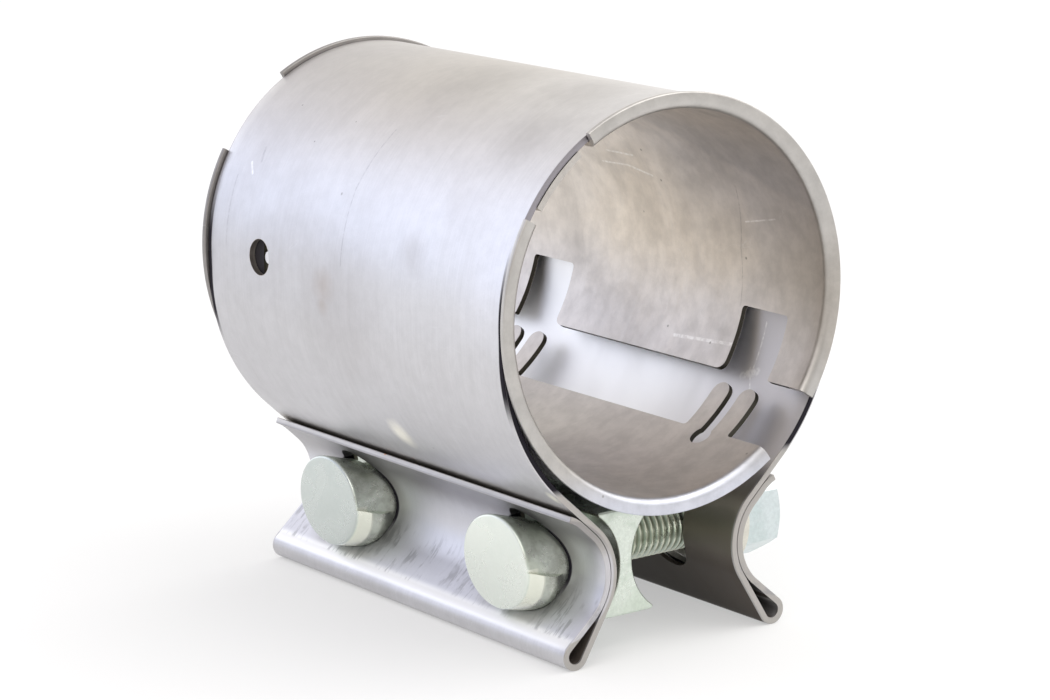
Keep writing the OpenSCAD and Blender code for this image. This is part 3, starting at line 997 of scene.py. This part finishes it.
def band_inside(g, at):
    """The inside that shows through the sleeve's seam, painted bright as a painted reflection that
    is whitest from the middle to the back end, with light rubs beside the fingers. Also gives
    its mask."""
    inside = g.times(g.span(at.depth, 40.4, 40.1), g.span(at.z, -40, -38))
    # Painted reflection: white from the middle to the back end, greyer towards the front
    plate = g.mix(g.span(at.back, -2, -42), (1, 1, 1, 1), (0.70, 0.69, 0.72, 1))
    g.color = g.mix(g.times(inside, 0.9), g.color, plate)
    rubs = g.scratches([
        (-77, -34.8, -86.6, -34, 0.3), (-87.2, -35.5, -88.6, -31.5, 1.1),
        (-86.4, -44.5, -87.4, -41.5, 0.9), (-86.8, -33, -96, -38, 0.3)])
    g.tint(g.times(rubs, inside), 0.75, (1, 1, 1))
    return inside


def band_edges(g, at):
    """Brown wall of the side hole, pale cut edges on the ears and painted shade on the cut edges in
    the window. Also gives the masks of a painted dark shadow in the gap beside the sleeve's lip
    and of a painted dark shadow line on the left."""
    hole_z = BAND_RO * math.sin(math.radians(SIDE_HOLE_DIR))
    from_hole = g.length(g.math("SUBTRACT", at.back, SIDE_HOLE_Y), g.math("SUBTRACT", at.z, hole_z))
    g.tint(g.times(g.span(from_hole, 3.90, 3.84), at.left), 0.75, (0.42, 0.37, 0.31))
    cut_edge = g.span(at.y, 53.1, 53.3)
    on_ear = g.times(cut_edge, g.span(at.z, -32.5, -34.5))
    g.tint(on_ear, 0.75, (0.43, 0.405, 0.370))
    # Painted shade: the cut edge in the lip's window is darkened
    painted_window_edge_shade = g.times(cut_edge, g.span(at.z, 6, 14))
    g.tint(painted_window_edge_shade, 0.85, (0.30, 0.28, 0.31))
    # Painted shadow: masks of a dark line in the gap beside the lip and of a dark line along the lip on the
    # left
    gap = g.times(cut_edge, g.span(at.z, -34.5, -32.5), g.span(at.z, 14, 6), g.span(at.depth, 40.88, 40.78))
    rim = g.times(g.span(at.y, 52.1, 52.4), g.span(at.depth, 40.7, 40.9), at.left)
    rim = g.times(rim, g.span(at.z, -20, -12), g.span(at.z, 18, 4))
    return gap, rim


def ear_shading(g, at):
    """Painted shade where the ears face each other, darkest low down, and on the left ear's outer
    ply painted dark shadows about the heads, a painted lighter hollow between them, painted
    shade below the flared edge and a painted highlight along the loop. Also gives the mask of
    the painted shadow where the heads sit and the mask of the low painted shade."""
    # Painted shade: the ear faces that look at each other are painted dark brown, nearly dark as night low
    # down
    facing = g.times(g.span(at.bulge, 12.1, 12.7), g.span(at.x, 27.5, 24.5),
                     g.span(at.z, -34, -43), g.span(at.y, 53.2, 52.8))
    painted_facing_shade = g.mix(g.span(at.z, -43, -58), (0.37, 0.335, 0.27, 1), (0.036, 0.022, 0.010, 1))
    g.color = g.mix(g.times(facing, 0.92), g.color, painted_facing_shade)
    # Painted shadow: soft dark rings about the heads on the outer ply
    ring_y = g.math("DIVIDE", g.math("SUBTRACT", at.y, BOLT_Y), 11.3)
    ring_z = g.math("DIVIDE", g.math("SUBTRACT", at.z, BOLT_Z - 2.13), 9.5)
    ring = g.length(ring_y, ring_z)
    outer_ply = g.times(g.span(at.bulge, 12.7, 12.3), at.left)
    painted_head_shadow = g.times(outer_ply, g.span(ring, 1.45, 1.0), g.span(at.z, -58, -46, 0.35, 1.0))
    g.tint(painted_head_shadow, 0.50, (0.20, 0.19, 0.20))
    # Painted light: a lighter hollow between the heads
    hollow = g.times(outer_ply, g.span(at.z, -45, -50), g.span(ring, 1.1, 1.6))
    g.tint(hollow, 0.42, (0.80, 0.81, 0.90))
    # Painted shade below the flared edge
    painted_fold_shade = g.times(outer_ply, g.span(at.z, -48.5, -43))
    g.tint(painted_fold_shade, 0.50, (0.24, 0.23, 0.24))
    # Painted highlight: a bright line along the loop
    painted_loop_highlight = g.times(g.span(at.z, -62.8, -64), g.span(at.z, -65.8, -64.9),
                    g.span(at.x, 24.3, 25.8), g.span(at.y, 53.1, 52.8))
    g.tint(painted_loop_highlight, 0.85, (1, 1, 1))
    # Painted shadow where the heads sit on the ply
    painted_contact_shadow = g.times(outer_ply, g.span(ring, 1.07, 1.03), g.span(at.z, -61, -55))
    return painted_contact_shadow, g.times(facing, g.span(at.z, -46, -58))


def band_finish():
    """Satin steel, with painted shade and painted shadows between the pieces."""
    g = Finish("Satin band steel", BAND_RO)
    lines = g.use(GRAIN)
    stain = g.use(STAIN, Size=34.0)
    at = band_places(g)
    band_color(g, at, stain)
    band_marks_and_painted_light(g)
    g.grain(lines, 0.94, 1.035)
    g.grain(g.noise(g.place, 340.0, 5.0, 0.65), 0.967, 1.026)
    g.tint(g.use(SCRATCH, Amount=0.5), 0.3, (0.85, 0.85, 0.87))
    g.tint(g.use(SPECK, Count=190.0, Share=0.02), 0.45, (0.10, 0.08, 0.07))
    inside = band_inside(g, at)
    gap, rim = band_edges(g, at)
    painted_contact_shadow, low_painted_shade = ear_shading(g, at)
    # Painted shadow: the gap beside the lip, the line on the left and where the heads sit are painted very
    # dark and, with the low painted shade between the ears, lose their reflection
    painted_black_shade = g.most([gap, rim, painted_contact_shadow])
    g.tint(painted_black_shade, 0.98, (0.010, 0.008, 0.014))
    pressed = g.times(g.span(at.z, -54.5, -59), g.span(at.z, -66.5, -63.5), g.span(at.bulge, 12.7, 12.3))
    streak = g.times(g.use(STREAK), pressed)
    g.tint(streak, 0.56, (0.30, 0.30, 0.32))
    rust = g.most([g.patch(g.place, spot, 0.35, 0.25) for spot in RUST_SPOTS])
    g.tint(rust, 0.9, (0.55, 0.24, 0.07))
    rough = g.span(lines, 0.3, 0.7, 0.37, 0.43)
    for mask, more in ((stain, 0.05), (painted_black_shade, 0.3), (inside, 0.07)):
        rough = g.math("ADD", rough, g.times(mask, more))
    g.dull(g.most([painted_black_shade, g.times(low_painted_shade, 0.95)]))
    g.finish(rough, g.math("ADD", lines, g.times(streak, -0.5)), 0.11)
    return g.material


# Sleeve's finish

def sleeve_color(g, z, stain):
    """Tan steel with a painted lighter tan middle, painted grey reflection low in the bore, a
    painted reflected dark edge across the upper right, painted shade beside it and painted shade
    near the front lip on the right."""
    g.color = g.mix(stain, (0.70, 0.645, 0.585, 1), (0.60, 0.555, 0.505, 1))
    # Painted light: a lighter tan middle
    g.tint(g.patches([(-59, 0, 12, 16), (-56, -18, 6, 12)]), 0.55, (0.78, 0.69, 0.57))
    # Painted reflection: a dark edge reflected across the upper right, beyond a border line
    u, v, _ = g.millimetres(g.flat)
    border = g.math("ADD", u, g.math("ADD", g.times(v, -0.42), 24.0))
    border = g.math("ADD", border, g.times(stain, 2.0))
    shadow = g.times(g.span(border, -0.8, 1.8), g.span(border, 20, 3, 0.35, 1.0), g.span(v, -4, -16))
    g.tint(shadow, 0.42, (0.40, 0.385, 0.375))
    # Painted reflection: greyer low in the bore
    g.tint(g.span(z, 2, -22), 0.6, (0.58, 0.56, 0.565))
    # Painted shade beside the reflected edge
    painted_corner_shade = g.patches([(-42, -20, 6, 16), (-44, -42, 8, 14)])
    g.tint(painted_corner_shade, 0.35, (0.46, 0.44, 0.43))
    # Painted shade near the front lip on the right
    g.tint(g.patches([(-58, -52, 6, 14)]), 0.55, (0.42, 0.38, 0.33))


def sleeve_marks(g):
    """Light rubs, one long dark scratch and small spots in the bore. Also gives the rubs."""
    rubs = g.scratches([
        (-41.1, 12, -41.1, 3, 0.35), (-44.4, 15.3, -44.1, 6.3, 0.3), (-44.1, 6.3, -45.6, -1.4, 0.35),
        (-79.4, -10.4, -78.2, -30, 0.5), (-50, -40, -52, -30, 0.25)])
    g.tint(rubs, 0.55, (0.95, 0.93, 0.90))
    scratch = g.scratches([(-43.8, -29.9, -58, -27.4, 0.25), (-58, -27.4, -70, -28.5, 0.2)])
    g.tint(scratch, 0.4, (0.30, 0.27, 0.24))
    spots = ((-39, -1.4), (-46.3, -4), (-60, -29), (-77.9, -7.5), (-79.1, -22.4))
    spots = g.patches([(u, v, 0.16, 0.2) for u, v in spots])
    g.tint(spots, 0.6, (0.13, 0.12, 0.09))
    return rubs


def lip_color(g, right, back, z):
    """Lip faces: grey on top, lighter and bluer low down as a painted reflection, browner on the right, and
    dark at the back end as painted shade.
    """
    # Painted reflection: the lips are lighter and bluer low down
    edge = g.mix(g.span(z, -28, -39), (0.520, 0.505, 0.485, 1), (0.66, 0.68, 0.76, 1))
    on_right = g.times(g.span(right, 34, 40), g.span(z, 16, -4))
    edge = g.mix(g.times(on_right, 0.8), edge, (0.455, 0.42, 0.38, 1))
    lip = g.span(g.math("ABSOLUTE", back), 53.0, 54.2)
    g.color = g.mix(g.times(lip, 0.9), g.color, edge)
    # Painted shade on the back end's lip
    g.tint(g.span(back, 53.2, 54.0), 0.7, (0.20, 0.19, 0.19))


def sleeve_finish():
    """Tan steel, with painted shade on the cut walls along the seam and a painted dark hole behind the side
    hole's tab.
    """
    g = Finish("Tan sleeve steel", BORE_R)
    lines = g.use(GRAIN)
    stain = g.use(STAIN, Size=48.0)
    right, back, z = g.millimetres(g.place)
    sleeve_color(g, z, stain)
    rubs = sleeve_marks(g)
    lip_color(g, right, back, z)
    g.grain(lines, 0.965, 1.03)
    g.grain(g.noise(g.place, 260.0, 5.0, 0.65), 0.92, 1.07)
    g.tint(g.use(SCRATCH, Amount=0.7), 0.35, (0.85, 0.84, 0.82))
    g.tint(g.use(SPECK, Count=210.0, Share=0.04), 0.45, (0.12, 0.10, 0.08))

    # Outside, hidden by the band apart from what the side hole shows. It is painted near-white so that the
    # band's inside reflects it as painted light.
    from_axis = g.length(right, z)
    wall = g.span(g.math("ABSOLUTE", back), 50.6, 50.3)
    g.tint(g.times(g.span(from_axis, 39.66, 39.69), wall), 0.9, (0.97, 0.97, 1.0))
    side = direction(SIDE_HOLE_DIR)
    hole_c = (42 * side[0], SIDE_HOLE_Y + 0.6, 42 * side[1])
    in_hole = g.times(g.patch(g.place, hole_c, 4.9, 0.6), g.span(from_axis, 38.9, 39.4))
    from_tab = g.math("ABSOLUTE", g.math("SUBTRACT", z, SLEEVE_RO * side[1]))
    tab = g.times(g.span(from_tab, TAB_HALF + 0.15, TAB_HALF + 0.05),
                  g.span(back, SIDE_HOLE_Y + 0.15, SIDE_HOLE_Y + 0.05))
    # Painted shade: the wall behind the side hole is painted very dark, apart from the tab, and loses its
    # reflection
    painted_hole_darkness = g.times(in_hole, g.math("SUBTRACT", 1.0, tab))
    g.tint(painted_hole_darkness, 0.98, (0.012, 0.010, 0.014))
    g.tint(g.times(tab, in_hole), 0.9, (0.74, 0.74, 0.76))
    g.dull(painted_hole_darkness)

    # Painted shade: the cut walls of the seam and the side hole are painted very dark
    painted_cut_wall_shade = g.times(g.span(from_axis, 38.53, 38.58), g.span(from_axis, 39.68, 39.62), wall)
    g.tint(painted_cut_wall_shade, 0.93, (0.045, 0.042, 0.028))
    rough = g.math("ADD", g.times(stain, 0.08), g.span(lines, 0.3, 0.7, 0.37, 0.45))
    g.finish(rough, g.math("ADD", lines, g.times(rubs, -0.5)), 0.11)
    return g.material


# Zinc finishes

def head_marks(g, x, back, y, z, dents):
    """Mottled flanks, the front head's face painted whiter as painted light and the back head's face
    painted darker as painted shade, and a painted cream highlight on the flattened strip beside the lug.
    Also gives the flanks.
    """
    depth = g.math("ADD", x, HEAD_FACE)
    flank = g.times(g.span(depth, 0.3, 0.9), g.span(depth, 10.8, 10.2))
    g.tint(flank, 0.32, (0.62, 0.64, 0.53))
    g.tint(g.times(flank, g.span(dents, 0.42, 0.62)), 0.36, (0.33, 0.35, 0.29))
    # Painted light and shade: the front head's face is whiter, the back head's face darker
    face = g.times(g.span(depth, 0.4, 0.1), g.math("LESS_THAN", x, -20.0))
    g.tint(g.times(face, g.span(back, -20, 20, 0.8, 0.0)), 1.0, (0.84, 0.88, 0.82))
    g.tint(g.times(face, g.span(back, -20, 20)), 0.8, (0.58, 0.62, 0.61))
    # Painted highlight: cream on the flattened strip beside the lug
    painted_facet_highlight = g.times(g.span(depth, 0.2, 0.6), g.span(depth, 3.0, 2.4))
    painted_facet_highlight = g.times(painted_facet_highlight, g.span(y, 0, -1.5), g.span(z, 0.1, -0.3))
    g.tint(painted_facet_highlight, 0.85, (0.86, 0.88, 0.77))
    return flank


def thread_marks(g, x, y, z):
    """Painted shade in the thread's roots and painted highlights on its crests, from the start of the
    thread to just before the bolt's end.
    """
    r = g.length(y, z)
    thread = g.math("GREATER_THAN", x, THREAD_START)
    # Painted shade in the roots, painted highlight on the crests
    painted_root_shade = g.times(thread, g.span(r, 5.75, 5.15), g.math("LESS_THAN", x, BOLT_END - 0.15))
    painted_crest_highlight = g.times(thread, g.span(r, 5.75, 5.9), g.span(r, 6.3, 6.1))
    g.tint(painted_root_shade, 0.65, (0.20, 0.20, 0.12))
    g.tint(painted_crest_highlight, 0.6, (0.90, 0.90, 0.72))


def zinc_finish(name, light, deep, rough_lo, rough_hi, bolt=False):
    """Zinc plate that clouds between two colours, with fine grit. On bolts the heads and the
    threads get marks, painted light and painted shade of their own, placed about the nearer
    bolt's axis."""
    g = Finish(name)
    g.shader.inputs["Metallic"].default_value = 0.85
    stain = g.use(STAIN, Size=150.0)
    grit = g.noise(g.place, 1500.0, 3.0)
    dents = g.noise(g.place, 420.0, 2.0)
    g.color = g.mix(stain, (*light, 1), (*deep, 1))
    g.grain(grit, 0.95, 1.04)
    g.tint(g.use(SPECK, Count=420.0, Share=0.02), 0.7, (0.10, 0.10, 0.08))
    if bolt:
        x, back, height = g.millimetres(g.place)
        y = g.math("SUBTRACT", back, g.times(g.math("SIGN", back), BOLT_Y))
        z = g.math("SUBTRACT", height, BOLT_Z)
        dents = g.times(dents, head_marks(g, x, back, y, z, dents))
        thread_marks(g, x, y, z)
    rough = g.span(stain, 0.0, 1.0, rough_lo, rough_hi)
    g.finish(rough, g.math("ADD", grit, g.times(dents, 2.0)), 0.14)
    return g.material


# Places of small rust spots along the flared edge of the left ear, in millimetres
RUST_SPOTS = [(-25.5, 11.4, -38.4), (-25.5, 1.4, -38.0), (-25.8, -53.3, -40.4)]

band_mat = band_finish()
sleeve_mat = sleeve_finish()
head_mat = zinc_finish("Green zinc", (0.73, 0.79, 0.72), (0.64, 0.72, 0.63), 0.26, 0.38, bolt=True)
washer_mat = zinc_finish("Cream zinc", (0.76, 0.74, 0.66), (0.68, 0.67, 0.60), 0.36, 0.46)
nut_mat = zinc_finish("Blue zinc", (0.68, 0.75, 0.76), (0.60, 0.69, 0.69), 0.30, 0.40)

PIECES = [
    (band, "clamp", "band", "band", band_mat),
    (sleeve, "clamp", "sleeve", "sleeve", sleeve_mat),
    (block, "block", "reaction_block", "zinc_green", head_mat),
    (front_bolt, "clamp", "front_bolt", "zinc_green", head_mat),
    (back_bolt, "clamp", "back_bolt", "zinc_green", head_mat),
    (front_washer, "front_washer", "front_saddle_washer", "washer", washer_mat),
    (back_washer, "back_washer", "back_saddle_washer", "washer", washer_mat),
    (front_nut, "front_hex_nut", "front_nut", "nut", nut_mat),
    (back_nut, "back_hex_nut", "back_nut", "nut", nut_mat),
]
for piece, body, node, slot, mat in PIECES:
    piece.data.materials.clear()
    piece.data.materials.append(mat)
    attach(piece, body)
    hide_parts(node)


# Studio: pale floor, soft lamps and the photograph's camera

def make_floor():
    """A wide pale floor under the ears. To the camera and in reflections it is nearly white and
    keeps the object's shadow."""
    height = (LOOP_C[1] - LOOP_RM - BAND_T / 2 - 0.05) * MM
    half = 12.0
    corners = [(-half, -half, height), (half, -half, height), (half, half, height), (-half, half, height)]
    mesh = bpy.data.meshes.new("Floor")
    mesh.from_pydata(corners, [], [(0, 1, 2, 3)])
    floor = bpy.data.objects.new("Floor", mesh)
    bpy.context.scene.collection.objects.link(floor)
    mat = bpy.data.materials.new("Pale floor")
    mat.use_nodes = True
    g = Graph(mat.node_tree)
    g.tree.nodes.clear()
    path = g.add("ShaderNodeLightPath").outputs
    seen = g.most([path["Is Camera Ray"], path["Is Glossy Ray"], path["Is Transmission Ray"]])
    plain = g.add("ShaderNodeBsdfDiffuse", {}, Color=(0.80, 0.80, 0.80, 1)).outputs[0]
    darker = g.add("ShaderNodeBsdfDiffuse", {}, Color=(0.45, 0.45, 0.45, 1)).outputs[0]
    glow = g.add("ShaderNodeEmission", {}, Color=(1, 1, 1, 1), Strength=0.46).outputs[0]
    white = g.add("ShaderNodeAddShader", {}, i0=darker, i1=glow).outputs[0]
    both = g.add("ShaderNodeMixShader", {}, i0=seen, i1=plain, i2=white).outputs[0]
    g.link(both, g.add("ShaderNodeOutputMaterial").inputs[0])
    mesh.materials.append(mat)


WALL = (0.58, 0.56, 0.53)

# Each panel's middle, the cosines at which it starts and is full, and its light
PANELS = [
    ((0.52, 0.79, 0.32), 0.75, 0.97, (0.41, 0.41, 0.39)),
    ((-0.61, 0.79, 0.10), 0.75, 0.97, (0.12, 0.18, 0.33)),
    ((0.57, -0.20, 0.77), 0.60, 0.95, (1.80, 1.80, 1.80)),
    ((-0.50, 0.30, 0.80), 0.60, 0.95, (0.21, 0.21, 0.29)),
    ((-0.17, 0.98, 0.10), 0.80, 0.97, (1.07, 1.09, 1.14)),
]


def make_world():
    """Studio walls: an even grey with large soft panels behind, above and to the right. Each
    panel fades in as the direction turns towards its middle."""
    world = bpy.data.worlds.new("Studio")
    bpy.context.scene.world = world
    world.use_nodes = True
    g = Graph(world.node_tree)
    g.tree.nodes.clear()
    way = g.add("ShaderNodeTexCoord").outputs["Generated"]
    light = (*WALL, 1)
    for middle, start, full, color in PANELS:
        middle = tuple(Vector(middle).normalized())
        along = g.vector("DOT_PRODUCT", way, middle, "Value")
        light = g.mix(g.span(along, start, full), light, (*color, 1), "ADD")
    back = g.add("ShaderNodeBackground", {}, Color=light).outputs[0]
    g.link(back, g.add("ShaderNodeOutputWorld").inputs[0])


def make_lamp(name, place, target, size, power, color):
    """A soft lamp that faces its target."""
    data = bpy.data.lights.new(name, "AREA")
    data.shape = "RECTANGLE"
    data.size, data.size_y = size
    data.energy = power
    data.color = color
    lamp = bpy.data.objects.new(name, data)
    bpy.context.scene.collection.objects.link(lamp)
    lamp.location = place
    lamp.rotation_euler = (Vector(target) - Vector(place)).to_track_quat("-Z", "Y").to_euler()


def make_camera():
    """The photograph's camera, in millimetres: its place, its right and up directions, and a
    lens fitted to the outlines of the lips, ears and heads."""
    data = bpy.data.cameras.new("Camera")
    data.sensor_width = 36.0
    data.lens = 124.82
    data.clip_start = 0.01
    data.clip_end = 50.0
    cam = bpy.data.objects.new("Camera", data)
    bpy.context.scene.collection.objects.link(cam)
    right = Vector((0.80929297, -0.58712761, -0.01805717))
    up = Vector((0.14275772, 0.16677146, 0.97560623))
    back = right.cross(up)
    turn = Matrix((right, up, back)).transposed().to_4x4()
    turn.translation = Vector((-429.95, -601.36, 147.42)) * MM
    cam.matrix_world = turn
    bpy.context.scene.camera = cam


make_floor()
make_world()
make_lamp("Key", (-0.75, -0.55, 0.85), (0, 0, -0.02), (0.9, 0.9), 3.6, (1.0, 0.96, 0.91))
make_camera()

bpy.context.scene.view_settings.view_transform = "Standard"
